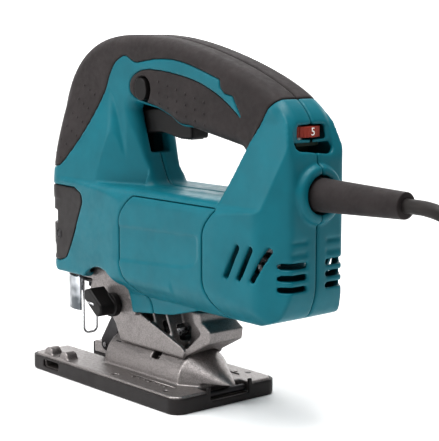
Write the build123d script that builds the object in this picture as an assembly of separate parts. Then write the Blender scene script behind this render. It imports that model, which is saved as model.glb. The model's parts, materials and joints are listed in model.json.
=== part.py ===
from build123d import *
from math import asin, cos, degrees, pi, radians, sin, tan
import os

# Jigsaw with a D-shaped top handle. Millimetres, +Z up.
# The origin is the centre of the sole. The blade end is -X and the cord leaves towards +X.

# ---- driving dimensions ----
SOLE_LENGTH = 148.5
SOLE_WIDTH = 77.0
SOLE_RIM = 9.0            # height of the black shoe's rim
PLATE_TOP = 10.0          # top of the metal base plate, and height of the tilt axis
BASE_SLOT_HALF = 10.5     # half width of the slot that the blade passes through

HANDLE_TOP = 208.5
HANDLE_HALF = 17.0        # half width of the handle
HANDLE_WALL = 4.0
BARREL_HALF = 31.0        # half width of the motor barrel
BARREL_BOTTOM = 55.0
BARREL_TOP = 121.0
BARREL_REAR = 144.5
HEAD_BOTTOM = 62.0
HEAD_FRONT = -71.0
HEAD_HALF = 24.5
WALL = 2.8                # casing wall
SEAM = 0.3                # gap between casing panels

MOTOR_Z = 88.0            # armature axis
STROKE = 26.0
MODULE = 0.8
PINION_TEETH = 10
GEAR_TEETH = 44
BACKLASH = 0.15
GEAR_Z = MOTOR_Z + MODULE * (PINION_TEETH + GEAR_TEETH) / 2 + BACKLASH
PLUNGER_X = -48.0
PLUNGER_R = 4.5
RUNNING_FIT = 0.05        # radial play of shafts in bushes and bearings
CRANK_Z = GEAR_Z + STROKE / 2   # crank pin and yoke with the plunger at the top
GEAR_FRONT = -31.0
GEAR_BACK = -23.5
YOKE_REAR = PLUNGER_X + 6.2
OPENER_R = 21.0           # swing radius of the blade opener's lever

BOSS_R = 19.0             # tilting boss on the base plate
BOSS_BORE = 14.0
BOSS_FRONT = -20.0
BOSS_REAR = 52.0
TILT_PLAY = 0.3
BOLT_X = 26.0

ROLLER_X = -37.0
ROLLER_Z = 16.0
ROLLER_R = 6.5
RETAINER_X = -20.0        # pivot of the roller fork
RETAINER_Z = 39.0

GUARD_X = -61.5           # wire guard in front of the blade
GUARD_Y = 5.0

FENCE_X = -50.0           # passage for a fence bar
FENCE_HALF = 8.2
FENCE_SCREW_R = 2.1
REAR_NOTCH = (-14.0, 17.0)
SHOE_SCREWS = ((-64, -30), (-64, 30), (56, -31), (56, 31), (8, -31), (8, 31))

KNOB_X = -8.0
KNOB_Z = 48.0
GEAR_WALL_Y = 19.0        # half width of the aluminium housing where it shows

TRIGGER_STEM = 167.0
SWITCH_BOTTOM = 176.5

DIAL_X = 129.0
DIAL_Z = 159.0
DIAL_R = 11.5

CORD_Z = 127.0
CORD_D = 7.5
GUARD_START = 139.0
GUARD_END = 205.0
COIL_X = 332.0            # put-away coil of the cord, on the surface that the tool stands on
COIL_Y = 0.0
COIL_OUTER = 54.1
COIL_INNER = 18.4
COIL_HEIGHT = 15.6
PLUG_WIDTH = 24.0
PLUG_LENGTH = 26.0
PLUG_HEIGHT = 18.0
PLUG_RELIEF = 20.0
BLADE_LENGTH = 17.0
BLADE_SPACING = 12.7

os.makedirs("parts", exist_ok=True)
nodes = {}


# ---- helpers ----
def keep(name, *shapes):
    """Store the shapes as one node, a single solid or a group of separate solids."""
    solids = ShapeList()
    for shape in shapes:
        solids.extend(shape.solids())
    nodes[name] = solids[0] if len(solids) == 1 else Compound(children=list(solids))
    return nodes[name]


def rounded(points, radii):
    """Flat outline through the points, with each corner rounded by its radius."""
    face = make_face(Polyline(*points, close=True))
    for (u, v), radius in zip(points, radii):
        if radius:
            corner = face.vertices().sort_by_distance(Vector(u, v, 0))[0]
            face = fillet(corner, radius)
    return face


def side_prism(face, y0, y1):
    """Extrude an outline drawn in X and Z from y0 to y1."""
    return Pos(0, y0, 0) * extrude(Plane.XZ * face, amount=y1 - y0, dir=(0, 1, 0))


def side_poly(points, y0, y1):
    return side_prism(make_face(Polyline(*points, close=True)), y0, y1)


def plan_prism(face, z0, z1):
    return Pos(0, 0, z0) * extrude(face, amount=z1 - z0)


def front_prism(face, x0, x1):
    """Extrude an outline drawn in Y and Z from x0 to x1."""
    return Pos(x0, 0, 0) * extrude(Plane.YZ * face, amount=x1 - x0, dir=(1, 0, 0))


def block(x0, x1, y0, y1, z0, z1):
    return Pos((x0 + x1) / 2, (y0 + y1) / 2, (z0 + z1) / 2) * Box(x1 - x0, y1 - y0, z1 - z0)


def rod_x(x0, x1, y, z, radius):
    return Pos((x0 + x1) / 2, y, z) * Rot(0, 90, 0) * Cylinder(radius, x1 - x0)


def rod_y(y0, y1, x, z, radius):
    return Pos(x, (y0 + y1) / 2, z) * Rot(90, 0, 0) * Cylinder(radius, y1 - y0)


def rod_z(z0, z1, x, y, radius):
    return Pos(x, y, (z0 + z1) / 2) * Cylinder(radius, z1 - z0)


def tube_x(x0, x1, y, z, outer, inner):
    return rod_x(x0, x1, y, z, outer) - rod_x(x0 - 1, x1 + 1, y, z, inner)


def tube_z(z0, z1, x, y, outer, inner):
    return rod_z(z0, z1, x, y, outer) - rod_z(z0 - 1, z1 + 1, x, y, inner)


def mirrored(shape):
    return shape.mirror(Plane.XZ)


def both_sides(points):
    """Complete a half outline given on the -Y side with its mirror image."""
    return list(points) + [(u, -v) for u, v in reversed(points)]


def wedge(radius, half_angle, middle_angle):
    """Sector outline about the origin, centred on middle_angle in degrees."""
    low = radians(middle_angle - half_angle)
    high = radians(middle_angle + half_angle)
    arc = ThreePointArc(
        (radius * cos(low), radius * sin(low)),
        (radius * cos(radians(middle_angle)), radius * sin(radians(middle_angle))),
        (radius * cos(high), radius * sin(high)),
    )
    sides = Polyline(arc @ 1, (0, 0), arc @ 0)
    return make_face([arc, sides])


def toothed(teeth, root, tip, thickness):
    """Spur gear outline: a root disc with tapered teeth, the first one on +X."""
    pitch = 360 / teeth
    middle = (root + tip) / 2
    half = thickness / middle / 2
    points = []
    for i in range(teeth):
        a = radians(i * pitch)
        flanks = ((root, -1.25 * half), (tip, -0.6 * half), (tip, 0.6 * half), (root, 1.25 * half))
        for radius, offset in flanks:
            points.append((radius * cos(a + offset), radius * sin(a + offset)))
    return make_face(Polyline(*points, close=True))


# ---- casing: outer form ----
SCREW_PLACES = ((-40, 150), (-12, 196.5), (74, 187), (133, 108), (133, 70), (-9, 128))
HANDLE_CURVE = (
    (-71.5, 112), (-70.5, 140), (-65, 167), (-50, 192), (-28, 204.8), (0, HANDLE_TOP),
    (30, 207), (70, 199), (115, 183.5), (128, 176.5), (140, 163.5), (BARREL_REAR, 145), (BARREL_REAR, 120),
)
FINGER_HOLE = (
    (5, 169), (15, 136), (22, 121.5), (90, 121.5), (110, 147.5), (58, 156.8), (47, 157.2), (40, 161.5),
    (27, 166),
)
FINGER_HOLE_RADII = (3, 10, 7, 7, 7, 25, 13, 16, 25)


def edges_on_side(shape, y, above):
    found = ShapeList()
    for edge in shape.edges():
        box = edge.bounding_box()
        if abs(box.min.Y - y) < 0.001 and abs(box.max.Y - y) < 0.001 and box.max.Z > above:
            found.append(edge)
    return found


def handle_form():
    """D-shaped handle slab with rounded edges inside and outside."""
    top = Spline(*HANDLE_CURVE, tangents=((0, 1), (0, -1)))
    rest = Polyline((BARREL_REAR, 120), (BARREL_REAR, 100), (-71.5, 100), (-71.5, 112))
    slab = side_prism(make_face([top, rest]), -HANDLE_HALF, HANDLE_HALF)
    outer = edges_on_side(slab, HANDLE_HALF, 101) + edges_on_side(slab, -HANDLE_HALF, 101)
    slab = fillet(outer, 8)
    slab -= side_prism(rounded(FINGER_HOLE, FINGER_HOLE_RADII), -40, 40)
    inner = ShapeList()
    for edge in edges_on_side(slab, HANDLE_HALF, 0) + edges_on_side(slab, -HANDLE_HALF, 0):
        box = edge.bounding_box()
        if box.min.X > 3 and box.max.X < 112:
            inner.append(edge)
    return fillet(inner, 8)


def section(z, x0, x1, half, corner):
    return Pos((x0 + x1) / 2, 0, z) * RectangleRounded(x1 - x0, 2 * half, corner)


def column_form(shrink=0.0):
    """Front column that widens from the handle down to the head."""
    stations = (
        (108, -71, 8, 25.5, 12), (138, -70.5, 2, 23.2, 12), (158, -66, -2, 20.3, 11), (177, -60, -6, 16.9, 9),
    )
    faces = []
    for z, x0, x1, half, corner in stations:
        faces.append(section(z, x0 + shrink, x1 - shrink, half - shrink, corner - shrink))
    return loft(faces)


def rear_plan(shrink):
    """Outline of the barrel and the rear housing seen from above."""
    half = BARREL_HALF - shrink
    left_side = [(12, -half), (98, -half), (128, shrink - 29.0), (BARREL_REAR - shrink, shrink - 18.5)]
    points = both_sides(left_side)
    return rounded(points, (0, 70, 14, 5, 5, 14, 70, 0))


def rear_form(shrink=0.0):
    """Rear housing that narrows from the barrel up to the handle."""
    front = [(shrink - 31, 100), (shrink - 27.5, 119), (shrink - 17, 163), (shrink - 14, 178)]
    front += [(-y, z) for y, z in reversed(front)]
    body = front_prism(rounded(front, (0, 12, 6, 4, 4, 6, 12, 0)), 80, 150)
    rear = BARREL_REAR - shrink
    side = [(90 + shrink, 108), (104 + shrink, 134), (116 + shrink, 160), (127, 176 - shrink),
            (139 - shrink, 164), (rear, 146), (rear, 108)]
    body &= side_prism(rounded(side, (0, 60, 30, 6, 14, 20, 0)), -40, 40)
    return body & plan_prism(rear_plan(shrink), 100, 190)


def barrel_form(shrink=0.0):
    """Motor barrel: one outline seen from above, one from the front and one from the side."""
    half = BARREL_HALF - shrink
    rear = BARREL_REAR - shrink
    low = BARREL_BOTTOM + shrink
    high = BARREL_TOP - shrink
    body = plan_prism(rear_plan(shrink), 40, 130)
    front = [(-half, low), (half, low), (half, high), (-half, high)]
    round_low = 20 - shrink
    round_high = 9 - shrink
    body &= front_prism(rounded(front, (round_low, round_low, round_high, round_high)), 0, 150)
    side = [(0, low), (118, low), (rear - 5, low + 7), (rear, low + 20), (rear, 125), (0, 125)]
    return body & side_prism(rounded(side, (0, 30, 9, 30, 0, 0)), -40, 40)


def head_form(shrink=0.0):
    """Front head around the gearing."""
    front_x = HEAD_FRONT + shrink
    low = HEAD_BOTTOM + shrink
    high = BARREL_TOP - shrink
    plan = both_sides([(60, shrink - BARREL_HALF), (12, shrink - BARREL_HALF), (-36, shrink - 26.5),
                       (front_x, shrink - HEAD_HALF)])
    body = plan_prism(rounded(plan, (0, 90, 90, 12, 12, 90, 90, 0)), 40, 130)
    half = BARREL_HALF - shrink
    front = [(-half, low), (half, low), (half, high), (-half, high)]
    body &= front_prism(rounded(front, (9, 9, 9, 9)), -90, 70)
    side = [(front_x, low + 7), (front_x + 9, low), (60, low), (60, high), (front_x, high)]
    return body & side_prism(make_face(Polyline(*side, close=True)), -40, 40)


def skirt_form(half, shrink=0.0):
    """Lower lip of the casing behind the gear housing."""
    outline = [(-16, 72), (-2, 64), (7, 58.5), (12, 46.5), (50, 51), (84, 60), (84, 72)]
    body = side_prism(rounded(outline, (0, 8, 8, 2, 0, 0, 0)), -half + shrink, half - shrink)
    return body


def outer_form():
    body = handle_form() + column_form() + rear_form() + barrel_form() + head_form() + skirt_form(22)
    outside = make_face(Polyline((-19, -24.5), (17, -11.5), (17, -40), (-19, -40), close=True))
    hollow = plan_prism(outside, 110, 190)
    region = [(-22, BARREL_TOP), (-22, 158), (-8, 174), (2, 168), (22, 150), (22, BARREL_TOP)]
    finger_side = hollow & side_poly(region, -40, 0)
    body -= finger_side
    body -= mirrored(finger_side)
    return body


def inner_form():
    """Space inside the casing."""
    outline = [(-66, 112), (-65, 140), (-60, 165), (-46, 188), (-26, 199.5), (0, 203), (30, 201.5), (70, 193.5),
               (112, 178.5), (126, 171), (136, 160), (139.5, 145), (139.5, 110), (96, 110), (115, 143), (116, 152),
               (58, 162.5), (44, 166.5), (30, 171.5), (0, 176), (-1, 165), (8, 134), (14, 112)]
    handle = side_poly(outline, HANDLE_WALL - HANDLE_HALF, HANDLE_HALF - HANDLE_WALL)
    body = handle + barrel_form(WALL) + head_form(WALL) + rear_form(WALL + 0.4)
    column = column_form(WALL + 0.4) - block(-12.5, 40, -40, 40, 119, 190)
    body += column
    trim = [(-16, 80), (-2, 67), (10, 61), (14, 49.5), (50, 54), (81, 62), (81, 80)]
    return body + side_poly(trim, -19.2, 19.2)


# ---- casing: panels ----
def rubber_region():
    """Soft grip: front pad, top of the handle and side panel, as seen from the side."""
    pad_edge = Spline((-58, 128.5), (-47, 138), (-28, 160), (-19, 175), (-11, 190), (-3, 195.5))
    over_column = Spline(
        (-3, 195.5), (2, 196.2), (9, 193), (17, 193.2), (46, 194.6), (66, 190.5), (86, 184.5))
    step = Polyline((86, 184.5), (86, 180.5), (90, 177), (96, 176.5), (105, 162.5))
    stripe_low = Spline(
        (105, 162.5), (85, 176), (66, 183.2), (46, 187), (27, 188.8), (14, 187.5), (6, 182), (6, 175))
    lower = Polyline((6, 175), (10, 171.5), (28, 167.8), (41, 163.2), (49, 159.2), (58, 158.6), (59, 150),
                     (80, 140), (104, 143.5))
    rear_edge = Spline((104, 143.5), (112, 152), (119, 163), (126, 173), (137, 181))
    outside = Polyline((137, 181), (160, 230), (-95, 230), (-95, 126.5), (-70, 126.5), (-58, 128.5))
    return make_face([pad_edge, over_column, step, stripe_low, lower, rear_edge, outside])


def cover_region(grow=0.0):
    """Black nose cover, as seen from the side."""
    points = [(-90, 116 + grow), (-40, 116 + grow), (-32 + grow, 113), (-31 + grow, 108), (-45 + grow, 80),
              (-50 + grow, 72), (-58, 69.5 - grow), (-90, 69.5 - grow)]
    return rounded(points, (0, 5, 4, 4, 30, 6, 6, 0))


def motor_region(grow=0.0):
    """Barrel panel around the motor, as seen from the side."""
    points = [(24 - grow, 117 + grow), (12 - grow, 106), (12 - grow, 75), (19 - grow, 65), (33 - grow, 55),
              (33 - grow, 30), (101 + grow, 30), (101 + grow, 55), (92 + grow, 67), (87 + grow, 76),
              (87 + grow, 106), (98 + grow, 117 + grow)]
    return rounded(points, (0, 14, 14, 18, 10, 0, 0, 10, 18, 14, 14, 0))


def side_vents():
    """Three slanted slots in each side of the rear housing."""
    cuts = []
    for i in range(3):
        x = 110.5 + 9.6 * i
        bar = Pos(x, 0, 90.5) * Rot(0, 28, 0) * Box(3.2, 80, 21)
        cuts.append(bar)
    return cuts


def rear_vents():
    """Two columns of slots in the back face; the upper two of each column are blind."""
    cuts = []
    for side in (-1, 1):
        for row in range(5):
            z = 78.5 + 6.1 * row
            depth = 0.9 if row > 2 else 12
            x0 = BARREL_REAR - depth
            cuts.append(block(x0, BARREL_REAR + 4, *sorted((side * 6.5, side * 22)), z - 1.5, z + 1.5))
    return cuts


def build_casing():
    outer = outer_form()
    shell = outer - inner_form()
    # ribs that hold the stator, the bearings and the switch
    shell += tube_x(38, 42, 0, MOTOR_Z, 31, 27.0) & barrel_form(0.5)
    shell += tube_x(60, 64, 0, MOTOR_Z, 31, 27.0) & barrel_form(0.5)
    rear_wall = tube_x(103.5, 107.5, 0, MOTOR_Z, 60, 9.0) & barrel_form(0.5)
    shell += rear_wall
    # cord collar round the strain relief
    collar = rod_x(136, 148.5, 0, CORD_Z, 15.5)
    collar = fillet(collar.edges().group_by(Axis.X)[-1], 3)
    shell += collar & block(130, 160, -20, 20, 100, 160)
    shell -= rod_x(GUARD_START + 2, 160, 0, CORD_Z, 10.2)
    shell -= rod_x(120, GUARD_START + 3, 0, CORD_Z, 12.3)
    # speed dial niche and window
    niche = [(-15, 150), (12.5, 147), (12.5, 161), (6, 167), (-6, 168), (-13, 162)]
    niche = rounded(niche, (4, 4, 4, 4, 4, 4))
    shell -= front_prism(niche, 139.5, 150)
    shell -= block(130, 150, -9.8, 9.8, DIAL_Z - 3.6, DIAL_Z + 3.6)
    # vents
    for cut in side_vents() + rear_vents():
        shell -= cut
    # trigger opening under the handle, and lock button bore
    shell -= block(4, 50.5, -7.2, 7.2, 140, 177)
    shell -= block(-12, 5, -7.2, 7.2, 146, 171)
    shell -= rod_y(-30, 0, 17.5, 177.5, 7.3)
    # opening under the head for the gear housing and the plunger
    shell -= block(-64, 14, -19.4, 19.4, 40, 67.5)
    shell -= rod_y(-40, 40, -12, 46.5, 24.2)
    # blank badge recess on each side of the barrel
    badge = rounded([(0, 78), (72, 82), (84, 86), (84, 101.5), (8, 99)], (3, 10, 6, 3, 3))
    shell -= side_prism(badge, -40, -BARREL_HALF + 0.6)
    shell -= side_prism(badge, BARREL_HALF - 0.6, 40)

    cover_cut = side_prism(cover_region(SEAM), -40, 40)
    motor_cut = side_prism(motor_region(SEAM), -40, 40)
    rubber = side_prism(rubber_region(), -40, 40)

    cover = shell & side_prism(cover_region(), -40, 40)
    cover += block(HEAD_FRONT - 4, HEAD_FRONT + 2, -17.5, 17.5, 80, 91.5)
    cover = chamfer(cover.faces().sort_by(Axis.X)[0].edges(), 2.5)
    cover -= block(-90, HEAD_FRONT + 11, -40, 40, 92.5, 100.5)
    cover -= block(-90, HEAD_FRONT + 8, -40, 40, 72, 79)
    motor = shell & side_prism(motor_region(), -40, 40)
    grips = shell & rubber
    rest = shell - cover_cut - motor_cut - rubber
    return rest, cover, motor, grips


def half_of(shape, side):
    if side < 0:
        return shape & block(-120, 200, -60, -SEAM / 2, 0, 260)
    return shape & block(-120, 200, SEAM / 2, 60, 0, 260)


def largest(shape):
    return sorted(shape.solids(), key=lambda solid: solid.volume)[-1]


# ---- motor ----
def build_motor():
    stator = tube_x(26, 74, 0, MOTOR_Z, 27.0, 17.5)
    coils = []
    for middle in (90, 270):
        window = wedge(23.3, 56, middle) - Circle(19.4)
        coil = wedge(22.9, 54, middle) - Circle(19.8)
        stator -= Pos(20, 0, MOTOR_Z) * extrude(Plane.YZ * window, amount=60, dir=(1, 0, 0))
        coils.append(Pos(18, 0, MOTOR_Z) * extrude(Plane.YZ * coil, amount=64, dir=(1, 0, 0)))
    keep("field_stator", stator)
    keep("field_coils", *coils)

    shaft = rod_x(-14, 113, 0, MOTOR_Z, 4.0)
    pinion = toothed(PINION_TEETH, 2.9, 4.45, 0.95)
    pinion = extrude(Plane.YZ * (Rot(0, 0, 90) * pinion), amount=13.5, dir=(1, 0, 0))
    pinion = Pos(-33.5, 0, MOTOR_Z) * pinion
    keep("armature_shaft", shaft + pinion + rod_x(-20.5, -13, 0, MOTOR_Z, 2.9))
    core = tube_x(28, 72, 0, MOTOR_Z, 16.7, 4.0)
    for i in range(12):
        slot = Pos(50, 0, MOTOR_Z) * Rot(30 * i, 0, 0) * Pos(0, 0, 14) * Box(50, 1.8, 9)
        core -= slot
    keep("armature_core", core)
    ends = [tube_x(x, x + 7, 0, MOTOR_Z, 14.5, 4.0) for x in (20.7, 72.3)]
    keep("armature_windings", *ends)
    commutator = tube_x(83, 97, 0, MOTOR_Z, 10.0, 4.0)
    for i in range(24):
        commutator -= Pos(90, 0, MOTOR_Z) * Rot(15 * i, 0, 0) * Pos(0, 0, 10) * Box(12, 0.5, 2)
    keep("commutator", commutator)

    fan = tube_x(0, 12, 0, MOTOR_Z, 7.5, 4.0) + tube_x(9.5, 11, 0, MOTOR_Z, 24.0, 4.0)
    for i in range(15):
        blade = Pos(0, 0, 15.4) * Rot(0, 0, 18) * Box(8.4, 1.3, 16.6)
        fan += Pos(5.5, 0, MOTOR_Z) * Rot(24 * i, 0, 0) * blade
    keep("cooling_fan", fan)
    keep("fan_baffle", tube_x(14.5, 16.5, 0, MOTOR_Z, 27.0, 17.0))

    keep("front_bearing", bearing(-12.5, 5.0, MOTOR_Z, 4.0, 9.5))
    keep("rear_bearing", bearing(104, 4.0, MOTOR_Z, 4.0, 9.0))
    build_brushes()


def bearing(x, width, z, bore, outer):
    """Ball bearing drawn as one ring with a groove between its races."""
    ring = tube_x(x, x + width, 0, z, outer, bore + RUNNING_FIT)
    middle = (bore + outer) / 2
    for side in (x - 1, x + width - 0.6):
        ring -= tube_x(side, side + 1.6, 0, z, middle + 1.1, middle - 1.1)
    return ring


def build_brushes():
    brushes = []
    holders = []
    springs = []
    for side in (-1, 1):
        y0, y1 = sorted((side * 10.4, side * 20))
        brushes.append(block(87, 93, y0, y1, MOTOR_Z - 3, MOTOR_Z + 3))
        y0, y1 = sorted((side * 12.5, side * 27))
        holder = block(85, 95, y0, y1, MOTOR_Z - 5, MOTOR_Z + 5)
        y0, y1 = sorted((side * 11, side * 25.5))
        holder -= block(86.8, 93.2, y0, y1, MOTOR_Z - 3.2, MOTOR_Z + 3.2)
        holders.append(holder)
        y0, y1 = sorted((side * 20, side * 25.5))
        springs.append(rod_y(y0, y1, 90, MOTOR_Z, 2.4) - rod_y(y0 - 1, y1 + 1, 90, MOTOR_Z, 1.4))
    keep("carbon_brushes", *brushes)
    keep("brush_holders", *holders)
    keep("brush_springs", *springs)


# ---- gearing, plunger and blade clamp ----


def build_gearing():
    gear = toothed(GEAR_TEETH, 16.75, 18.05, 0.95)
    half_pitch = 180 / GEAR_TEETH
    gear = Pos(GEAR_FRONT, 0, GEAR_Z) * extrude(
        Plane.YZ * (Rot(0, 0, 270 + half_pitch) * gear), amount=GEAR_BACK - GEAR_FRONT, dir=(1, 0, 0))
    gear -= rod_x(GEAR_FRONT - 1, GEAR_BACK + 1, 0, GEAR_Z, 4.0)
    for i in range(5):
        angle = radians(90 + 60 * (i + 1))
        gear -= rod_x(GEAR_FRONT - 1, GEAR_BACK + 1, 10.5 * cos(angle), GEAR_Z + 10.5 * sin(angle), 3.0)
    gear -= rod_x(GEAR_FRONT - 1, GEAR_FRONT + 5, 0, CRANK_Z, 2.0)
    keep("drive_gear", gear)
    keep("gear_shaft", rod_x(GEAR_FRONT, -12, 0, GEAR_Z, 4.0))
    keep("gear_bearing", bearing(-20.5, 5.0, GEAR_Z, 4.0, 9.0))
    pin = rod_x(YOKE_REAR + 0.4, GEAR_FRONT + 5, 0, CRANK_Z, 2.0)
    keep("crank_pin", pin + rod_x(YOKE_REAR + 0.4, GEAR_FRONT - 1.5, 0, CRANK_Z, 3.2))

    keep("plunger_rod", rod_z(52, 150, PLUNGER_X, 0, PLUNGER_R))
    yoke = block(PLUNGER_X - 1, YOKE_REAR, -19, 19, CRANK_Z - 5, CRANK_Z + 5)
    yoke -= block(PLUNGER_X + 2, YOKE_REAR + 1, -16.6, 16.6, CRANK_Z - 3.3, CRANK_Z + 3.3)
    yoke += rod_z(CRANK_Z - 7, CRANK_Z + 7, PLUNGER_X, 0, PLUNGER_R + 1.6)
    yoke -= rod_z(CRANK_Z - 9, CRANK_Z + 9, PLUNGER_X, 0, PLUNGER_R)
    yoke -= block(PLUNGER_X + 4.6, YOKE_REAR + 3, -16.6, 16.6, CRANK_Z - 3.3, CRANK_Z + 3.3)
    keep("plunger_yoke", yoke)
    keep("lower_rod_bush", tube_z(68, 78, PLUNGER_X, 0, 8.0, PLUNGER_R + RUNNING_FIT))
    keep("upper_rod_bush", tube_z(134, 142, PLUNGER_X, 0, 8.0, PLUNGER_R + RUNNING_FIT))

    clamp = rod_z(46, 64, PLUNGER_X, 0, 6.8) - rod_z(52, 65, PLUNGER_X, 0, PLUNGER_R)
    clamp = chamfer(clamp.edges().group_by(Axis.Z)[0], 1.0)
    clamp -= block(PLUNGER_X - 4, PLUNGER_X + 4, -0.9, 0.9, 40, 51)
    clamp -= rod_y(-10, 10, PLUNGER_X - 4.5, 55, 1.2)
    keep("blade_clamp", clamp)
    ring = tube_z(51.4, 58, PLUNGER_X, 0, 8.6, 6.8)
    keep("clamp_sleeve", ring - block(PLUNGER_X - 12, PLUNGER_X - 5, -1.8, 1.8, 53, 60))
    build_opener()
    build_retainer()


def build_opener():
    """Curved chrome lever round the front left of the clamp, hung from a ring under the head."""
    z0 = 38.5
    z1 = 60.0
    sector = wedge(OPENER_R, 52, 232) - wedge(OPENER_R - 1.6, 60, 232)
    skin = Pos(PLUNGER_X, 0, z0) * extrude(sector, amount=z1 - z0)
    skin -= Pos(PLUNGER_X - 20, -10, z0) * Rot(0, 0, -38) * Rot(0, 24, 0) * Box(60, 14, 9)
    rib = wedge(OPENER_R - 1.5, 3, 206) - Circle(17.6)
    skin += Pos(PLUNGER_X, 0, z0 + 6) * extrude(rib, amount=z1 - z0 - 6)
    arm = wedge(OPENER_R, 14, 232) - Circle(13.8)
    skin += Pos(PLUNGER_X, 0, z1 - 1.6) * extrude(arm, amount=1.6)
    ring = tube_z(z1 - 1.6, z1, PLUNGER_X, 0, 14.0, 11.0 + 0.08)
    keep("opener_lever", skin + ring)


def build_retainer():
    """Fork that carries the roller behind the blade; it swings on a pin in the gear housing."""
    arm = [(RETAINER_X - 4, RETAINER_Z + 4.5), (RETAINER_X + 4.5, RETAINER_Z + 2), (RETAINER_X + 2, RETAINER_Z - 5),
           (ROLLER_X + 5.5, ROLLER_Z - 2), (ROLLER_X + 2, ROLLER_Z - 4.5), (ROLLER_X - 3.5, ROLLER_Z - 2.5),
           (ROLLER_X - 4, ROLLER_Z + 3)]
    cheek = rounded(arm, (3, 3, 6, 3, 3, 3, 3))
    fork = side_prism(cheek, -6.4, -4.0) + side_prism(cheek, 4.0, 6.4)
    bridge = [(RETAINER_X - 5, RETAINER_Z + 2), (RETAINER_X + 3, RETAINER_Z + 1), (RETAINER_X - 2, RETAINER_Z - 8),
              (RETAINER_X - 8, RETAINER_Z - 4)]
    fork += side_poly(bridge, -5, 5)
    fork -= rod_y(-20, 20, RETAINER_X, RETAINER_Z, 2.0 + RUNNING_FIT)
    fork -= rod_y(-20, 20, ROLLER_X, ROLLER_Z, 1.5)
    keep("roller_fork", fork)
    keep("retainer_pin", rod_y(-12, 12, RETAINER_X, RETAINER_Z, 2.0))
    keep("roller_pin", rod_y(-6.8, 6.8, ROLLER_X, ROLLER_Z, 1.5))
    roller = rod_y(-3.6, 3.6, ROLLER_X, ROLLER_Z, ROLLER_R)
    roller -= rod_y(-5, 5, ROLLER_X, ROLLER_Z, 1.5 + RUNNING_FIT)
    groove = Cylinder(ROLLER_R + 1, 1.4) - Cylinder(ROLLER_R - 1.4, 3)
    roller -= Pos(ROLLER_X, 0, ROLLER_Z) * Rot(90, 0, 0) * groove
    keep("roller", roller)


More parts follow.
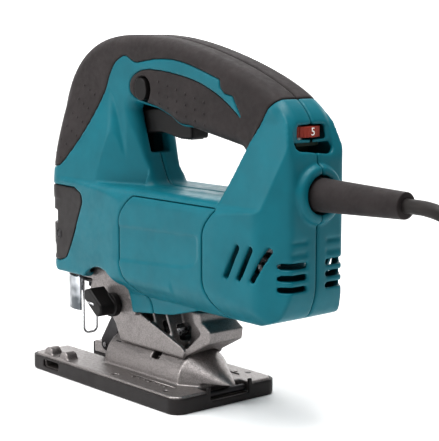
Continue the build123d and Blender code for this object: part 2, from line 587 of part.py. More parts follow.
# ---- aluminium gear housing with its saddle ----
def build_gear_housing():
    nose = block(-62, 12, -GEAR_WALL_Y, GEAR_WALL_Y, 60.2, 112)
    nose = fillet(nose.edges().filter_by(Axis.Z), 6)
    body = nose & (head_form(WALL + 0.3) + block(-62, 12, -19, 19, 60.2, 80))
    body += tube_x(-33.5, -13, 0, GEAR_Z, 20.4, 18.9)
    body += rod_x(-15, -13, 0, GEAR_Z, 20.4)
    body += rod_z(130, 143, PLUNGER_X, 0, 10.0)
    body += block(PLUNGER_X - 8, -30, -4, 4, 131.5, 141)
    body += block(-34, -28, -4, 4, 127, 141)
    # disc shaped wall behind the orbital knob, down to the saddle
    disc = rod_y(-GEAR_WALL_Y, GEAR_WALL_Y, -12, 46.5, 23.6) & block(-62, 30, -19, 19, 44, 75)
    body += disc
    keel = [(-31, 62), (-31, 47), (-24, 44.5), (-14, 35), (-8.5, 24), (51, 24), (52.5, 29), (49, 31.5), (8, 45.5),
            (8, 60)]
    body += side_poly(keel, -14.8, 14.8)
    # ribbed rear end of the saddle
    body -= side_poly([(2, 42), (2, 33), (44, 28.5), (50, 29.5), (53, 31), (11, 45), (8, 60), (2, 60)], -12.2, 12.2)
    web = [(0, 30), (48, 27), (70, 36), (71.5, 43), (63, 48), (62, 53), (0, 53)]
    body += side_poly(web, -2, 2)
    tail = [(47, 26.5), (53, 26.5), (72, 36.5), (73, 43), (65, 48), (64, 53.2), (56, 53.2), (58, 46), (64, 41)]
    body += side_poly(tail, -12.5, 12.5)
    for x in (14, 27, 40):
        rib = side_poly([(x, 28), (x + 2.4, 28), (x - 7.6, 50.5), (x - 10, 50.5)], -12.3, 12.3)
        body += rib
    # the saddle rides on the boss
    body -= rod_x(-12, 80, 0, PLATE_TOP, BOSS_R + TILT_PLAY)
    for side in (-1, 1):
        tilted_plate = Rot(45 * side, 0, 0) * Pos(0, 28 * side, -2.5) * Box(160, 30, 5.8)
        body -= Pos(0, 0, PLATE_TOP) * tilted_plate
    body -= block(BOLT_X - 3.5, BOLT_X + 13.5, -3.2, 3.2, 20, 36)
    body -= block(BOLT_X - 6.5, BOLT_X + 16.5, -7.5, 7.5, 32, 41)
    body -= skirt_form(23) & block(10, 90, -30, 30, 40, 80)
    # gear and yoke space
    body -= rod_x(-32.2, -15, 0, GEAR_Z, 18.9)
    body -= block(-56, -31.8, -16.5, 16.5, 85, 114)
    body -= block(PLUNGER_X - 1.5, YOKE_REAR + 0.5, -19.5, 19.5, CRANK_Z - 5.5 - STROKE, CRANK_Z + 5.5)
    body -= rod_x(-35, -12, 0, MOTOR_Z, 6.0)
    body -= rod_x(-12.6, -7, 0, MOTOR_Z, 9.5)
    body -= rod_x(-8, 20, 0, MOTOR_Z, 7.8)
    body -= rod_x(-20.6, -15, 0, GEAR_Z, 9.0)
    body -= rod_x(-16, -11, 0, GEAR_Z, 5.0)
    body -= block(-2, 13, -40, 40, 62, 113)
    # plunger passage, bush seats and clamp space
    body -= rod_z(55, 160, PLUNGER_X, 0, PLUNGER_R + 0.6)
    body -= rod_z(68, 78, PLUNGER_X, 0, 8.0)
    body -= rod_z(134, 142, PLUNGER_X, 0, 8.0)
    body -= rod_z(30, 66.2, PLUNGER_X, 0, 9.6)
    # roller fork space
    body -= block(-40, -13.5, -7.0, 7.0, 24, 51)
    body -= block(-34, -10, -7.0, 7.0, 24, 47)
    body -= rod_y(-12, 12, RETAINER_X, RETAINER_Z, 2.0)
    # orbital knob bore and wire guard sockets
    body -= rod_y(-25, -8, KNOB_X, KNOB_Z, 4.0 + RUNNING_FIT)
    # collar that carries the opener ring
    body += tube_z(55.5, 62, PLUNGER_X, 0, 11.0, 9.6)
    body += tube_z(55.5, 57.6, PLUNGER_X, 0, 13.0, 9.6)
    body += block(-64.3, PLUNGER_X - 10.5, -6.5, 6.5, 54.5, 57.6)
    for side in (-1, 1):
        body -= rod_z(50, 60, GUARD_X, side * GUARD_Y, 0.8)
    keep("gear_housing", largest(body))


def build_wire_guard():
    """Bent steel wire in front of the blade."""
    low = 19.0
    path = FilletPolyline(
        (GUARD_X, -GUARD_Y, 57.5), (GUARD_X, -GUARD_Y, low), (GUARD_X, GUARD_Y, low), (GUARD_X, GUARD_Y, 57.5),
        radius=3.5)
    section_plane = Plane(origin=path @ 0, z_dir=path % 0)
    keep("wire_guard", sweep(section_plane * Circle(0.8), path=path))


def build_orbital_knob():
    y0 = -GEAR_WALL_Y - 0.3
    base = rod_y(y0 - 4, y0, KNOB_X, KNOB_Z, 7.2)
    shaft = rod_y(y0, -9, KNOB_X, KNOB_Z, 4.0)
    pointer = [(-6, -4.4), (11.5, -4.4), (14.8, 0), (11.5, 4.4), (-6, 4.4)]
    bar = rounded(pointer, (4, 2, 1.5, 2, 4))
    bar = side_prism(Pos(KNOB_X, KNOB_Z) * Rot(0, 0, 143) * bar, y0 - 14.5, y0 - 3)
    bar = chamfer(bar.faces().sort_by(Axis.Y)[0].edges(), 0.8)
    keep("orbital_knob", base + shaft + bar)


# ---- tilting base ----
def base_outline(inset, corner):
    return RectangleRounded(SOLE_LENGTH - 2 * inset, SOLE_WIDTH - 2 * inset, corner)


def base_cuts():
    """Openings that go through both the plate and the shoe."""
    slot = block(-90, -14, -BASE_SLOT_HALF, BASE_SLOT_HALF, -1, 12)
    well = block(2, 48, -BOSS_BORE + 0.5, BOSS_BORE - 0.5, -1, PLATE_TOP)
    return slot + well


def build_base():
    plate = plan_prism(base_outline(1.6, 7), 2.6, PLATE_TOP)
    plate = chamfer(plate.edges().group_by(Axis.Z)[-1], 0.8)
    boss = rod_x(BOSS_FRONT, BOSS_REAR, 0, PLATE_TOP, BOSS_R)
    flare = Cone(BOSS_R, 3, 26, align=(Align.CENTER, Align.CENTER, Align.MIN))
    flare = Pos(BOSS_REAR, 0, PLATE_TOP) * Rot(0, 90, 0) * flare
    boss = (boss + flare) & block(-60, 90, -30, 30, 5, 40)
    plate += boss
    upper_half = block(-60, 90, -30, 30, PLATE_TOP - 0.1, 40)
    plate -= rod_x(BOSS_FRONT - 5, BOSS_REAR - 3, 0, PLATE_TOP, BOSS_BORE) & upper_half
    arc_slot = Pos(BOLT_X - 3.6, 0, PLATE_TOP) * extrude(Plane.YZ * wedge(40, 56, 90), amount=7.2, dir=(1, 0, 0))
    plate -= arc_slot - rod_x(-10, 60, 0, PLATE_TOP, BOSS_BORE - 1)
    plate -= base_cuts()
    plate -= block(-16, BOSS_FRONT + 12, -7.2, 7.2, 5, 40)
    # rip fence passage: a channel across the front with four arched humps over it
    for side in (-1, 1):
        for x in (FENCE_X - 8.5, FENCE_X + 8.5):
            y0, y1 = sorted((side * 27, side * 34.5))
            hump = rod_y(y0, y1, x, PLATE_TOP, 4.6) & block(-90, 0, -40, 40, 8, 20)
            plate += hump
    plate -= block(FENCE_X - FENCE_HALF, FENCE_X + FENCE_HALF, -50, 50, 3.2, 7.6)
    plate -= rod_z(5, 20, FENCE_X, -30, FENCE_SCREW_R)
    # seat for the spare key and screw holes
    plate -= block(63.5, 80, REAR_NOTCH[0], REAR_NOTCH[1], 4.2, 12)
    for x, y in SHOE_SCREWS:
        plate -= rod_z(0, 20, x, y, 1.5)
    keep("base_plate", largest(plate))

    shoe = plan_prism(base_outline(0, 8), 0, SOLE_RIM)
    shoe = chamfer(shoe.edges().group_by(Axis.Z)[0], 0.8)
    shoe -= plan_prism(base_outline(1.6, 7), 2.6, 20)
    shoe -= base_cuts()
    shoe -= block(FENCE_X - FENCE_HALF, FENCE_X + FENCE_HALF, -50, 50, 3.2, 7.6)
    shoe -= block(66, 80, REAR_NOTCH[0], REAR_NOTCH[1], 4.2, 12)
    for side in REAR_NOTCH:
        tab = block(72, 74.2, side - 1.2, side + 1.2, 4.2, 12.5)
        shoe += tab - plan_prism(base_outline(1.6, 7), 2.6, PLATE_TOP)
    for x, y in SHOE_SCREWS:
        shoe -= rod_z(-1, 20, x, y, 1.5)
        shoe -= rod_z(-1, 0.8, x, y, 2.9)
    keep("base_shoe", largest(shoe))
    screws = []
    for x, y in SHOE_SCREWS:
        screws.append(rod_z(0.2, 9.6, x, y, 1.5) + rod_z(0.2, 0.8, x, y, 2.9))
    keep("shoe_screws", *screws)

    key = rod_y(-12.5, 15.5, 69.3, 6.7, 2.0)
    keep("hex_key", key)


def build_base_clamp():
    """Bolt, curved washer and square nut that grip the boss against the saddle."""
    washer = Pos(BOLT_X - 8, 0, PLATE_TOP) * extrude(
        Plane.YZ * (wedge(BOSS_BORE - 0.3, 34, 90) - Circle(BOSS_BORE - 3)), amount=16, dir=(1, 0, 0))
    washer &= block(0, 60, -20, 20, PLATE_TOP + 8.5, 40)
    washer -= rod_z(0, 40, BOLT_X, 0, 2.6)
    keep("clamp_washer", washer)
    head = rod_z(15.0, 18.6, BOLT_X, 0, 4.6)
    head -= Pos(BOLT_X, 0, 15) * extrude(RegularPolygon(2.4, 6), amount=2.4)
    top_of_washer = PLATE_TOP + BOSS_BORE - 3
    bolt = rod_z(17.5, 38, BOLT_X, 0, 2.5) + (head & block(0, 60, -9, 9, 0, top_of_washer))
    washer_hole = tube_z(18.5, 30, BOLT_X, 0, 2.6, 2.5)
    keep("base_bolt", bolt - washer_hole)
    nut = block(BOLT_X - 4.4, BOLT_X + 4.4, -7.0, 7.0, 32.3, 37) - rod_z(20, 40, BOLT_X, 0, 2.5)
    keep("slide_nut", nut)


# ---- switch, trigger, lock button and speed dial ----


def build_controls():
    keep("switch_body", block(13, 50, -8.5, 8.5, SWITCH_BOTTOM, 191) - rod_y(-9, 0, 17.5, 177.5, 7.0))
    trigger = [(-8, 160), (2, 164.5), (20, 166.5), (38, 160.5), (49.5, 157.5), (49.5, 150), (38, 150), (22, 152.5),
               (-6, 149.5)]
    skin = side_prism(rounded(trigger, (2, 4, 12, 8, 1.5, 1.5, 3, 30, 3)), -6.5, 6.5)
    skin = fillet(skin.edges().filter_by(GeomType.LINE).filter_by(lambda e: abs(e.center().Z - 151) < 2.5
                  and abs(abs(e.center().Y) - 6.5) < 0.01), 1.2)
    skin -= side_poly([(-6, 158), (0, 162), (20, 163.5), (36, 158), (36, 168), (-10, 168)], -5, 5)
    stem = block(24, 32, -3, 3, 153, TRIGGER_STEM)
    keep("trigger", skin + stem)
    keep("trigger_spring", tube_z(TRIGGER_STEM, SWITCH_BOTTOM, 28, 0, 2.6, 1.8))
    cap = Pos(17.5, 177.5) * Rot(0, 0, 12) * Ellipse(5.6, 6.6)
    cap = side_prism(cap, -HANDLE_HALF - 1.4, -HANDLE_HALF + 6)
    stem = rod_y(-HANDLE_HALF + 5, -3.5, 17.5, 177.5, 3.0)
    keep("lock_button", cap + stem)

    dial = rod_z(DIAL_Z - 2.9, DIAL_Z + 2.9, DIAL_X, 0, DIAL_R)
    for i in range(36):
        dial -= Pos(DIAL_X, 0, DIAL_Z) * Rot(0, 0, 10 * i) * Pos(DIAL_R + 0.2, 0, 0) * Box(1.0, 0.9, 8)
    dial -= rod_z(DIAL_Z - 5, DIAL_Z + 5, DIAL_X, 0, 2.5 + RUNNING_FIT)
    keep("speed_dial", dial)
    keep("dial_spindle", rod_z(DIAL_Z - 5.5, DIAL_Z + 4.5, DIAL_X, 0, 2.5))
    board = block(119, 136, -8, 8, DIAL_Z - 7.5, DIAL_Z - 5.5)
    keep("control_board", board + block(121, 130, -7, 7, 148, 152))


# ---- fasteners ----
def build_fasteners():
    screws = []
    for x, z in SCREW_PLACES:
        screws.append(rod_y(4, 12, x, z, 1.6))
    keep("casing_screws", *screws)


# ---- cord ----
CORD_ROUTE = (
    (GUARD_END, 0, CORD_Z), (222, 0, 127), (242.4, 3.2, 119.4), (256.8, 9.6, 104), (261, 17.8, 84.6),
    (259, 31.5, 50.7), (262.2, 39.5, 30.9), (274, 46, 15), (292, 49.9, 5.7), (314, 50.3, 4.6),
)
TAIL_ROUTE = ((382.5, 8, 16.5), (382.3, -10, 19), (373, -29.4, 22), (354.5, -40.9, 24.6), (334, -40.9, 24.9))


def cord_tube(route):
    """Sweep the cord along straight runs that are joined by arcs as wide as the runs allow."""
    corners = [Vector(*point) for point in route]
    radii = []
    for before, corner, after in zip(corners, corners[1:], corners[2:]):
        turn = radians((corner - before).get_angle(after - corner))
        run = min((corner - before).length, (after - corner).length)
        radii.append(0.45 * run / tan(turn / 2))
    print("cord arc radii", [round(radius, 1) for radius in radii])
    path = FilletPolyline(*route, radius=radii)
    tube = sweep(Plane(origin=path @ 0, z_dir=path % 0) * Circle(CORD_D / 2), path=path)
    expected = path.length * pi * (CORD_D / 2) ** 2
    print("cord volume", round(tube.volume), "expected", round(expected), "length", round(path.length, 1))
    return tube


def build_cord():
    guard = Pos(GUARD_START, 0, CORD_Z) * Rot(0, 90, 0) * Cone(
        9.2, 6.8, GUARD_END - GUARD_START, align=(Align.CENTER, Align.CENTER, Align.MIN))
    keep("cord_guard", guard + rod_x(GUARD_START - 3, GUARD_START + 2, 0, CORD_Z, 11.8))
    keep("cord_tube", cord_tube(CORD_ROUTE))
    keep("cord_tail", cord_tube(TAIL_ROUTE))
    keep("cord_coil", tube_z(0, COIL_HEIGHT, COIL_X, COIL_Y, COIL_OUTER, COIL_INNER))

    x, y, z = TAIL_ROUTE[-1]
    low_end = (Align.CENTER, Align.CENTER, Align.MIN)
    relief = Pos(x, y, z) * Rot(0, -90, 0) * Cone(4.6, 6.6, PLUG_RELIEF, align=low_end)
    body = Box(PLUG_LENGTH, PLUG_WIDTH, PLUG_HEIGHT)
    body = fillet(body.edges().filter_by(Axis.Z), 5)
    body = fillet(body.faces().filter_by(Axis.Z).edges(), 3)
    front = x - PLUG_RELIEF - PLUG_LENGTH + 2
    body = relief + Pos(front + PLUG_LENGTH / 2, y, z) * body
    pins = []
    for side in (-1, 1):
        blade = Box(BLADE_LENGTH + 2, 1.5, 6.3)
        blade = Pos(front - BLADE_LENGTH / 2 + 1, y + side * BLADE_SPACING / 2, z) * blade
        pins.append(blade)
        body -= blade
    keep("plug_body", body)
    keep("plug_pins", *pins)


def main():
    rest, cover, motor, grips = build_casing()
    keep("housing_left", half_of(rest, -1))
    keep("housing_right", half_of(rest, 1))
    keep("front_cover", cover)
    keep("motor_housing", motor)
    keep("grip_left", half_of(grips, -1))
    keep("grip_right", half_of(grips, 1))
    build_motor()
    build_gearing()
    build_gear_housing()
    build_wire_guard()
    build_orbital_knob()
    build_base()
    build_base_clamp()
    build_controls()
    build_fasteners()
    build_cord()
    for name, shape in nodes.items():
        export_step(shape, f"parts/{name}.step")


main()
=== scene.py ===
import json
from math import cos, pi, radians, sin

import bmesh
import bpy
from mathutils import Matrix, Vector
from mathutils.bvhtree import BVHTree


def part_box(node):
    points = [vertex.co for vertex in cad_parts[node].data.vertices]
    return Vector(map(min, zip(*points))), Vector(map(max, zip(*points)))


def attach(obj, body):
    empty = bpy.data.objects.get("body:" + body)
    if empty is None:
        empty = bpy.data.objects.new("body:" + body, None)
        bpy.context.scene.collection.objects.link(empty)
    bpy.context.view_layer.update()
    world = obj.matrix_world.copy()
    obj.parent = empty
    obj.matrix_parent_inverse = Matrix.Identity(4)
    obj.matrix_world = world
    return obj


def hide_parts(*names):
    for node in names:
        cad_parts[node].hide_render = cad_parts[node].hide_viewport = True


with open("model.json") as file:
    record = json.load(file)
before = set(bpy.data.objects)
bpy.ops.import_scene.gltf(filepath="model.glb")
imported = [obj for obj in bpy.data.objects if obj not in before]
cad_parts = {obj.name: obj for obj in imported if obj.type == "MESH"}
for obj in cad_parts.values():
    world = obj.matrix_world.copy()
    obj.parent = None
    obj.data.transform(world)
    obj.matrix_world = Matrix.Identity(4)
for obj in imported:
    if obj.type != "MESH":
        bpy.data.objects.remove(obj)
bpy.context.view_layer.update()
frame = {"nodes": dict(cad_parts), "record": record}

NODES = frame["nodes"]
MM = 0.001
VIEW_TURN = radians(49.57)      # the camera's heading, which the backdrop faces too


# ---- camera ----
def make_camera():
    """Low three-quarter view from the rear left."""
    data = bpy.data.cameras.new("camera")
    data.sensor_width = 36
    data.lens = 108.15
    camera = bpy.data.objects.new("camera", data)
    bpy.context.collection.objects.link(camera)
    camera.location = (0.62762, -0.47824, 0.20967)
    camera.rotation_euler = (radians(90 - 8.08), 0, VIEW_TURN)
    bpy.context.scene.camera = camera


make_camera()


# ---- cord ----
CORD_RADIUS = 3.75 * MM
CORD_ROUTE = (
    (0.190, 0, 0.127), (0.205, 0, 0.127), (0.222, 0, 0.127), (0.2424, 0.0032, 0.1194),
    (0.2568, 0.0096, 0.104), (0.261, 0.0178, 0.0846), (0.259, 0.0315, 0.0507), (0.2622, 0.0395, 0.0309),
    (0.274, 0.046, 0.015), (0.292, 0.0499, 0.0057), (0.314, 0.0503, 0.0046),
)
TAIL_ROUTE = (
    (0.3823, -0.010, 0.019), (0.373, -0.0294, 0.022), (0.3545, -0.0409, 0.0246), (0.334, -0.0409, 0.0249),
    (0.319, -0.0409, 0.0249),
)
COIL_CENTRE = (0.332, 0.0)
COIL_TURNS = 7.25
COIL_OUTER = 0.0503
COIL_PITCH = 0.0077
POINTS_PER_TURN = 14
LAYER_HEIGHT = 0.0039   # middle of the lower layer above the floor
CROSSING = 0.4          # turns that the cord takes to climb from one layer to the next


def coil_points():
    """Two layers of a flat spiral: inwards on the floor, then outwards on top of it."""
    points = []
    half = COIL_TURNS / 2
    inner = COIL_OUTER - COIL_PITCH * half
    total = int(COIL_TURNS * POINTS_PER_TURN)
    for i in range(total + 1):
        turn = i / POINTS_PER_TURN
        angle = pi / 2 - 2 * pi * turn
        radius = inner + COIL_PITCH * abs(turn - half)
        rise = min(1.0, max(0.0, (turn - half + CROSSING / 2) / CROSSING))
        climb = max(0.0, turn - COIL_TURNS + CROSSING / 2) / (CROSSING / 2)
        height = LAYER_HEIGHT + COIL_PITCH * rise + 0.004 * climb
        x = COIL_CENTRE[0] + radius * cos(angle)
        y = COIL_CENTRE[1] + radius * sin(angle)
        points.append((x, y, height))
    return points


def make_cord():
    curve = bpy.data.curves.new("power_cord", "CURVE")
    curve.dimensions = "3D"
    curve.bevel_depth = 1.0     # times each point's radius: a curve's bounds count that radius
    curve.bevel_resolution = 6
    curve.resolution_u = 8
    curve.use_fill_caps = True
    spline = curve.splines.new("NURBS")
    points = list(CORD_ROUTE) + coil_points() + list(TAIL_ROUTE)
    spline.points.add(len(points) - 1)
    for target, point in zip(spline.points, points):
        target.co = (*point, 1)
        target.radius = CORD_RADIUS
    spline.order_u = 3
    spline.use_endpoint_u = True
    cord = bpy.data.objects.new("power_cord", curve)
    bpy.context.collection.objects.link(cord)
    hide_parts("cord_tube", "cord_coil", "cord_tail")
    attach(cord, "housing")
    return cord


POWER_CORD = make_cord()


# ---- materials ----
class Shader:
    """A node material around one Principled BSDF."""

    def __init__(self, name, color, roughness, metallic=0.0):
        self.material = bpy.data.materials.new(name)
        self.material.use_nodes = True
        self.tree = self.material.node_tree
        self.bsdf = self.tree.nodes["Principled BSDF"]
        self.bsdf.inputs["Base Color"].default_value = (*color, 1)
        self.bsdf.inputs["Roughness"].default_value = roughness
        self.bsdf.inputs["Metallic"].default_value = metallic
        self.normal = None
        self.coordinates = self.tree.nodes.new("ShaderNodeTexCoord").outputs["Object"]

    def add(self, kind, **settings):
        node = self.tree.nodes.new(kind)
        for key, value in settings.items():
            setattr(node, key, value)
        return node

    def link(self, source, target):
        self.tree.links.new(source, target)

    def noise(self, scale, detail=3.0, stretch=(1, 1, 1)):
        mapping = self.add("ShaderNodeMapping")
        mapping.inputs["Scale"].default_value = stretch
        self.link(self.coordinates, mapping.inputs["Vector"])
        noise = self.add("ShaderNodeTexNoise")
        noise.inputs["Scale"].default_value = scale
        noise.inputs["Detail"].default_value = detail
        self.link(mapping.outputs["Vector"], noise.inputs["Vector"])
        return noise.outputs["Fac"]

    def ramp(self, source, low, high, start=0.35, end=0.65):
        """Map a 0 to 1 value between two numbers."""
        mapped = self.add("ShaderNodeMapRange")
        mapped.inputs["From Min"].default_value = start
        mapped.inputs["From Max"].default_value = end
        mapped.inputs["To Min"].default_value = low
        mapped.inputs["To Max"].default_value = high
        self.link(source, mapped.inputs["Value"])
        return mapped.outputs["Result"]

    def vary_color(self, source, dark, light):
        mix = self.add("ShaderNodeMix", data_type="RGBA")
        mix.inputs["A"].default_value = (*dark, 1)
        mix.inputs["B"].default_value = (*light, 1)
        self.link(source, mix.inputs["Factor"])
        self.link(mix.outputs["Result"], self.bsdf.inputs["Base Color"])

    def vary_roughness(self, source, low, high):
        self.link(self.ramp(source, low, high), self.bsdf.inputs["Roughness"])

    def bump(self, source, depth, strength=1.0):
        node = self.add("ShaderNodeBump")
        node.inputs["Distance"].default_value = depth
        node.inputs["Strength"].default_value = strength
        self.link(source, node.inputs["Height"])
        if self.normal is not None:
            self.link(self.normal, node.inputs["Normal"])
        self.normal = node.outputs["Normal"]
        self.link(self.normal, self.bsdf.inputs["Normal"])


def scaled(color, factor):
    return tuple(channel * factor for channel in color)


def plastic(name, color, roughness, grain=0.00005):
    """Moulded plastic with a fine spark-eroded texture and slight wear in its gloss."""
    shader = Shader(name, color, roughness)
    shader.vary_color(shader.ramp(shader.noise(60), 0, 1), scaled(color, 0.93), scaled(color, 1.06))
    shader.vary_roughness(shader.noise(220), roughness - 0.06, roughness + 0.06)
    shader.bump(shader.noise(2600, 2), grain, 0.5)
    shader.bsdf.inputs["Specular IOR Level"].default_value = 0.22
    return shader.material


def rubber(name, color, roughness=0.62):
    shader = Shader(name, color, roughness)
    shader.vary_color(shader.ramp(shader.noise(90), 0, 1), scaled(color, 0.85), scaled(color, 1.15))
    shader.vary_roughness(shader.noise(300), roughness - 0.07, roughness + 0.08)
    shader.bump(shader.noise(3200, 3), 0.00008, 0.6)
    shader.bsdf.inputs["Sheen Weight"].default_value = 0.05
    shader.bsdf.inputs["Specular IOR Level"].default_value = 0.2
    return shader.material


def cast_metal(name, color, roughness=0.45, grain=0.00018):
    """Cast and blasted aluminium: pitted skin, darker in the pits."""
    shader = Shader(name, color, roughness, 0.85)
    pits = shader.noise(1500, 6)
    shader.vary_color(shader.ramp(pits, 0, 1, 0.3, 0.62), scaled(color, 0.7), scaled(color, 1.1))
    shader.vary_roughness(shader.noise(500, 4), roughness - 0.08, roughness + 0.12)
    shader.bump(pits, grain, 0.55)
    shader.bump(shader.noise(110, 2), 0.0002, 0.25)
    return shader.material


def turned_metal(name, color, roughness, stretch=(1, 1, 1)):
    shader = Shader(name, color, roughness, 1.0)
    lines = shader.noise(700, 2, stretch)
    shader.vary_color(shader.ramp(shader.noise(80), 0, 1), scaled(color, 0.85), scaled(color, 1.08))
    shader.vary_roughness(lines, roughness - 0.06, roughness + 0.1)
    shader.bump(lines, 0.00002, 0.3)
    return shader.material


def chrome(name):
    shader = Shader(name, (0.42, 0.44, 0.47), 0.12, 1.0)
    shader.vary_color(shader.ramp(shader.noise(70, 2), 0, 1, 0.4, 0.6), (0.10, 0.11, 0.12), (0.55, 0.57, 0.6))
    shader.vary_roughness(shader.noise(150), 0.08, 0.2)
    shader.bump(shader.noise(60, 2), 0.0002, 0.12)
    return shader.material


def wound_copper(name):
    shader = Shader(name, (0.5, 0.2, 0.07), 0.35, 0.9)
    wave = shader.add("ShaderNodeTexWave")
    wave.inputs["Scale"].default_value = 500
    shader.link(shader.coordinates, wave.inputs["Vector"])
    shader.bump(wave.outputs["Fac"], 0.0003, 0.8)
    shader.vary_color(shader.ramp(shader.noise(100), 0, 1), (0.35, 0.12, 0.04), (0.58, 0.25, 0.1))
    return shader.material


def stacked_sheets(name):
    shader = Shader(name, (0.2, 0.2, 0.21), 0.42, 0.9)
    wave = shader.add("ShaderNodeTexWave")
    wave.inputs["Scale"].default_value = 320
    shader.link(shader.coordinates, wave.inputs["Vector"])
    shader.bump(wave.outputs["Fac"], 0.0001, 0.8)
    shader.vary_roughness(shader.noise(300), 0.36, 0.5)
    return shader.material


TEAL = (0.004, 0.122, 0.156)
MATERIALS = {
    "teal_plastic": plastic("teal_plastic", TEAL, 0.40),
    "black_rubber": rubber("black_rubber", (0.026, 0.021, 0.021)),
    "black_plastic": plastic("black_plastic", (0.022, 0.019, 0.019), 0.42),
    "dark_plastic": plastic("dark_plastic", (0.010, 0.009, 0.009), 0.38),
    "cast_aluminium": cast_metal("cast_aluminium", (0.27, 0.25, 0.245), 0.42),
    "base_aluminium": cast_metal("base_aluminium", (0.27, 0.25, 0.245), 0.38, 0.00010),
    "chrome": chrome("chrome"),
    "steel": turned_metal("steel", (0.48, 0.48, 0.49), 0.28),
    "blackened_steel": turned_metal("blackened_steel", (0.055, 0.053, 0.055), 0.40),
    "lamination_steel": stacked_sheets("lamination_steel"),
    "copper_wire": wound_copper("copper_wire"),
    "commutator_copper": turned_metal("commutator_copper", (0.6, 0.28, 0.14), 0.3),
    "carbon": plastic("carbon", (0.03, 0.03, 0.031), 0.6, 0.0001),
    "brass": turned_metal("brass", (0.6, 0.42, 0.16), 0.32),
    "sintered_bronze": turned_metal("sintered_bronze", (0.36, 0.24, 0.11), 0.5),
    "red_plastic": plastic("red_plastic", (0.24, 0.035, 0.022), 0.38),
    "circuit_board": plastic("circuit_board", (0.006, 0.022, 0.012), 0.4),
    "cord_rubber": rubber("cord_rubber", (0.022, 0.019, 0.018), 0.45),
}
SLOT_OF = {part["node"]: part["material_slot"] for part in frame["record"]["subparts"]}


def dress(obj, slot):
    obj.data.materials.clear()
    obj.data.materials.append(MATERIALS[slot])


for node_name, node_object in NODES.items():
    dress(node_object, SLOT_OF[node_name])
dress(POWER_CORD, "cord_rubber")


# ---- softened edges on the frame's own parts ----
def soften(node, voxel_mm, passes):
    """Round every edge of a CAD part as a mould or a casting rounds it."""
    obj = NODES[node]
    remesh = obj.modifiers.new("remesh", "REMESH")
    remesh.mode = "VOXEL"
    remesh.voxel_size = voxel_mm * MM
    remesh.use_smooth_shade = True
    smooth = obj.modifiers.new("smooth", "SMOOTH")
    smooth.factor = 0.5
    smooth.iterations = passes


SOFT_EDGES = {
    "housing_left": (0.8, 8), "housing_right": (0.8, 8), "motor_housing": (0.7, 6), "front_cover": (0.45, 8),
    "grip_left": (0.8, 10), "grip_right": (0.8, 10), "gear_housing": (0.7, 3), "base_plate": (0.6, 3),
    "base_shoe": (0.6, 3), "orbital_knob": (0.3, 5), "opener_lever": (0.3, 5), "roller_fork": (0.35, 3),
    "roller": (0.25, 3), "trigger": (0.35, 6), "lock_button": (0.3, 8), "speed_dial": (0.25, 3),
    "cord_guard": (0.45, 6), "plug_body": (0.5, 6), "blade_clamp": (0.3, 2), "clamp_sleeve": (0.3, 2),
    "hex_key": (0.25, 3), "plug_pins": (0.25, 4), "wire_guard": (0.22, 2),
}
for node_name, (voxel, passes) in SOFT_EDGES.items():
    soften(node_name, voxel, passes)


# ---- surface details ----
def evaluated_tree(name):
    """Search tree of a part's finished surface."""
    graph = bpy.context.evaluated_depsgraph_get()
    surface = NODES[name].evaluated_get(graph)
    mesh = surface.to_mesh()
    vertices = [v.co.copy() for v in mesh.vertices]
    faces = [tuple(p.vertices) for p in mesh.polygons]
    surface.to_mesh_clear()
    return BVHTree.FromPolygons(vertices, faces)


def hit(tree, point_mm, direction):
    """Where a ray that comes from 60 mm away along the direction meets a surface near a point."""
    direction = Vector(direction)
    start = Vector(point_mm) * MM - direction * 0.06
    place, normal, _, _ = tree.ray_cast(start, direction, 0.12)
    return place, normal


def add_dome(mesh, place, normal, radius, height):
    """Low round pip standing on a surface."""
    turn = normal.to_track_quat("Z", "Y").to_matrix().to_4x4()
    flatten = Matrix.Diagonal((1, 1, height / radius, 1))
    matrix = Matrix.Translation(place - normal * height * 0.4) @ turn @ flatten
    bmesh.ops.create_uvsphere(mesh, u_segments=14, v_segments=10, radius=radius, matrix=matrix)


def add_bar(mesh, start, end, normal, width, height, bevel=0.0002):
    """Straight bar with rounded edges, lying on a surface from start to end."""
    along = end - start
    side = normal.cross(along).normalized()
    turn = Matrix((along.normalized(), side, normal.normalized())).transposed().to_4x4()
    middle = (start + end) / 2 + normal * height * 0.25
    matrix = Matrix.Translation(middle) @ turn @ Matrix.Diagonal((along.length, width, height, 1))
    made = bmesh.ops.create_cube(mesh, size=1, matrix=matrix)
    edges = {edge for vertex in made["verts"] for edge in vertex.link_edges}
    bmesh.ops.bevel(mesh, geom=list(edges), offset=bevel, segments=2, affect="EDGES")


def add_ring(mesh, place, normal, radius, thickness):
    """Rounded ring around a point, lying on a surface."""
    turn = normal.to_track_quat("Z", "Y").to_matrix()
    around, across = 48, 10
    rows = []
    for i in range(around):
        angle = 2 * pi * i / around
        row = []
        for j in range(across):
            roll = 2 * pi * j / across
            reach = radius + thickness * cos(roll)
            local = Vector((reach * cos(angle), reach * sin(angle), thickness * sin(roll)))
            row.append(mesh.verts.new(place + turn @ local))
        rows.append(row)
    for i in range(around):
        for j in range(across):
            a, b = rows[i], rows[(i + 1) % around]
            k = (j + 1) % across
            mesh.faces.new((a[j], b[j], b[k], a[k]))


def mesh_object(name, mesh, slot, body):
    data = bpy.data.meshes.new(name)
    mesh.to_mesh(data)
    mesh.free()
    for polygon in data.polygons:
        polygon.use_smooth = True
    obj = bpy.data.objects.new(name, data)
    bpy.context.collection.objects.link(obj)
    data.materials.append(MATERIALS[slot])
    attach(obj, body)
    return obj


FRONT_DOTS = [(-63 + 4.6 * row + 5.6 * col, 136 + 8.4 * row - 2.6 * col)
              for row in range(6) for col in range(3)]
SIDE_DOTS = [(33 + 8.0 * i, 182 - 2.0 * i - 6.2 * j) for i in range(6) for j in range(4)]


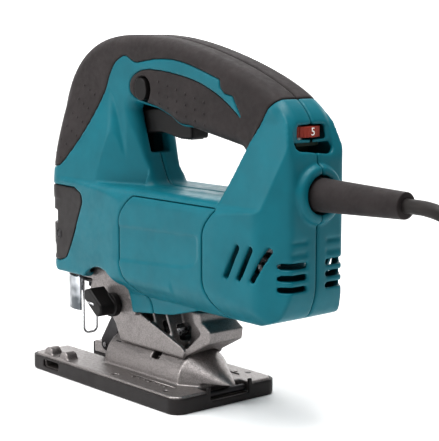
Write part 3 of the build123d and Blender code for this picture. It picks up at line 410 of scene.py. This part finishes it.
def make_dots():
    """Grip pips on the flanks of both rubber skins."""
    for side, name in ((-1, "left"), (1, "right")):
        tree = evaluated_tree(f"grip_{name}")
        mesh = bmesh.new()
        for x, z in FRONT_DOTS + SIDE_DOTS:
            place, normal = hit(tree, (x, side * 20, z), (0, -side, 0))
            if place is not None and normal.y * side > 0.55:
                add_dome(mesh, place, normal, 0.95 * MM, 0.7 * MM)
        mesh_object(f"grip_dots_{name}", mesh, "black_rubber", "housing")


def make_base_marks():
    """Ruled scales on the plate and bevel angle marks on its raised trough."""
    tree = evaluated_tree("base_plate")
    down = (0, 0, -1)
    mesh = bmesh.new()
    for side in (-1, 1):
        start, up = hit(tree, (14, side * 24.0, 12), down)
        end, _ = hit(tree, (56, side * 24.0, 12), down)
        if start and end:
            add_bar(mesh, start, end, up, 0.9 * MM, 0.7 * MM)
        for i in range(7):
            inner, up = hit(tree, (20 + 5 * i, side * 25.2, 12), down)
            outer, _ = hit(tree, (20 + 5 * i, side * (28.0 if i % 3 == 0 else 26.8), 12), down)
            if inner and outer:
                add_bar(mesh, inner, outer, up, 0.5 * MM, 0.5 * MM, 0.0001)
    mesh_object("base_scale_marks", mesh, "base_aluminium", "base")

    mesh = bmesh.new()
    for angle in (-45, -30, -15, 0, 15, 30, 45):
        turn = radians(angle)
        outward = Vector((0, sin(turn), cos(turn)))
        low = Vector((-19, 19 * sin(turn), 10 + 19 * cos(turn)))
        long = 5.0 if angle % 45 == 0 else 3.2
        a, _ = hit(tree, low + Vector((4, 0, 0)), -outward)
        b, _ = hit(tree, low + Vector((4 + long, 0, 0)), -outward)
        if a and b:
            add_bar(mesh, a, b, outward, 0.6 * MM, 0.25 * MM, 0.0001)
    mesh_object("bevel_angle_marks", mesh, "blackened_steel", "base")


def make_cover_screws():
    """Small screws in the front cover's nose, one each side."""
    tree = evaluated_tree("front_cover")
    mesh = bmesh.new()
    for side in (-1, 1):
        place, normal = hit(tree, (-58, side * 20, 86), (0, -side, 0))
        if place:
            add_dome(mesh, place, normal, 2.2 * MM, 0.8 * MM)
            add_ring(mesh, place, normal, 2.7 * MM, 0.35 * MM)
    mesh_object("cover_screws", mesh, "blackened_steel", "housing")


def make_lock_ring():
    """Raised ring around the lock button, on the casing's left half."""
    tree = evaluated_tree("housing_left")
    low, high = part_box("lock_button")
    middle = (low + high) / 2
    button_radius = (high.x - low.x) / 2
    beside = (middle.x / MM + button_radius / MM + 1.2, -20, middle.z / MM)
    place, _ = hit(tree, beside, (0, 1, 0))
    if place:
        mesh = bmesh.new()
        centre = Vector((middle.x, place.y, middle.z))
        add_ring(mesh, centre, Vector((0, -1, 0)), button_radius + 0.9 * MM, 0.55 * MM)
        mesh_object("lock_button_ring", mesh, "black_plastic", "housing")


def make_trigger_ribs():
    """Fine ribs across the rear half of the trigger's face."""
    tree = evaluated_tree("trigger")
    low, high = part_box("trigger")
    mesh = bmesh.new()
    width = (high.y - low.y) * 0.36
    for i in range(8):
        x = high.x - 0.003 - 0.0022 * i
        place, normal = hit(tree, Vector((x, 0, low.z)) / MM, (0, 0, 1))
        if place:
            start = place - Vector((0, width, 0))
            end = place + Vector((0, width, 0))
            add_bar(mesh, start, end, normal, 0.9 * MM, 0.8 * MM)
    mesh_object("trigger_ribs", mesh, "black_plastic", "trigger")


def make_cast_pips():
    """Ejector pips on the metal gear housing's side walls."""
    tree = evaluated_tree("gear_housing")
    mesh = bmesh.new()
    for side in (-1, 1):
        for x, z in ((-22, 54), (6, 54), (-20, 42), (12, 47), (20, 41), (28, 38)):
            place, normal = hit(tree, (x, side * 19, z), (0, -side, 0))
            if place and normal.y * side > 0.8:
                add_dome(mesh, place, normal, 1.1 * MM, 0.5 * MM)
    mesh_object("cast_pips", mesh, "cast_aluminium", "housing")


def make_knob_grip():
    """Raised pointer line on the selector knob."""
    tree = evaluated_tree("orbital_knob")
    low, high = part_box("orbital_knob")
    middle = (low + high) / 2
    mesh = bmesh.new()
    reach = (high.x - low.x) * 0.28
    points = [hit(tree, Vector((middle.x + t * reach, low.y, middle.z - t * reach * 0.1)) / MM, (0, 1, 0))
              for t in (-1, 0.2)]
    if points[0][0] and points[1][0]:
        add_bar(mesh, points[0][0], points[1][0], points[0][1], 1.2 * MM, 0.6 * MM)
    mesh_object("knob_pointer", mesh, "steel", "orbital_selector")


def make_dial_numeral():
    """White numeral on the speed wheel, facing the window."""
    low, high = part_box("speed_dial")
    data = bpy.data.curves.new("dial_numeral", "FONT")
    data.body = "5"
    data.size = 0.0058
    data.extrude = 0.0001
    data.align_x = "CENTER"
    data.align_y = "CENTER"
    numeral = bpy.data.objects.new("dial_numeral", data)
    bpy.context.collection.objects.link(numeral)
    numeral.location = (high.x + 0.00005, (low.y + high.y) / 2, (low.z + high.z) / 2)
    numeral.rotation_euler = (radians(90), 0, radians(90))
    paint = Shader("white_paint", (0.8, 0.8, 0.78), 0.45)
    paint.bump(paint.noise(900), 0.00002, 0.3)
    data.materials.append(paint.material)
    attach(numeral, "speed_dial")


make_dots()
make_base_marks()
make_cover_screws()
make_lock_ring()
make_trigger_ribs()
make_cast_pips()
make_knob_grip()
make_dial_numeral()


# ---- studio ----
WORLD = 0.34
SUN = 2.5


def area_light(name, place, target, size, power):
    light = bpy.data.lights.new(name, "AREA")
    light.shape = "RECTANGLE"
    light.size, light.size_y = size
    light.energy = power
    obj = bpy.data.objects.new(name, light)
    bpy.context.collection.objects.link(obj)
    obj.location = place
    direction = Vector(target) - Vector(place)
    obj.rotation_euler = direction.to_track_quat("-Z", "Y").to_euler()


def flat_plane(name, size, place, turn, material):
    mesh = bmesh.new()
    bmesh.ops.create_grid(mesh, x_segments=1, y_segments=1, size=size)
    data = bpy.data.meshes.new(name)
    mesh.to_mesh(data)
    mesh.free()
    plane = bpy.data.objects.new(name, data)
    bpy.context.collection.objects.link(plane)
    plane.location = place
    plane.rotation_euler = turn
    data.materials.append(material)


def make_studio():
    floor = Shader("pale_floor", (0.9, 0.9, 0.9), 0.7)
    flat_plane("floor", 9, (0, 0, 0), (0, 0, 0), floor.material)

    world = bpy.data.worlds.new("studio")
    world.use_nodes = True
    background = world.node_tree.nodes["Background"]
    background.inputs["Color"].default_value = (1, 1, 1, 1)
    background.inputs["Strength"].default_value = WORLD
    bpy.context.scene.world = world

    sun = bpy.data.lights.new("sun", "SUN")
    sun.energy = SUN
    sun.angle = radians(60)
    sun_object = bpy.data.objects.new("sun", sun)
    bpy.context.collection.objects.link(sun_object)
    sun_object.rotation_euler = (radians(22), radians(-4), 0)

    backdrop = Shader("white_backdrop", (0.9, 0.9, 0.9), 0.8)
    backdrop.bsdf.inputs["Emission Color"].default_value = (1, 1, 1, 1)
    backdrop.bsdf.inputs["Emission Strength"].default_value = 0.75
    flat_plane("backdrop", 7, (-4.6, 3.9, 0), (radians(90), 0, VIEW_TURN), backdrop.material)

    centre = (0.03, 0, 0.1)
    area_light("top", (0.15, 0.05, 0.9), centre, (0.5, 0.3), 3.2)
    area_light("left", (-0.5, -0.8, 0.45), centre, (0.25, 0.6), 2.4)


make_studio()
bpy.context.scene.view_settings.view_transform = "Standard"
bpy.context.scene.view_settings.look = "Medium High Contrast"
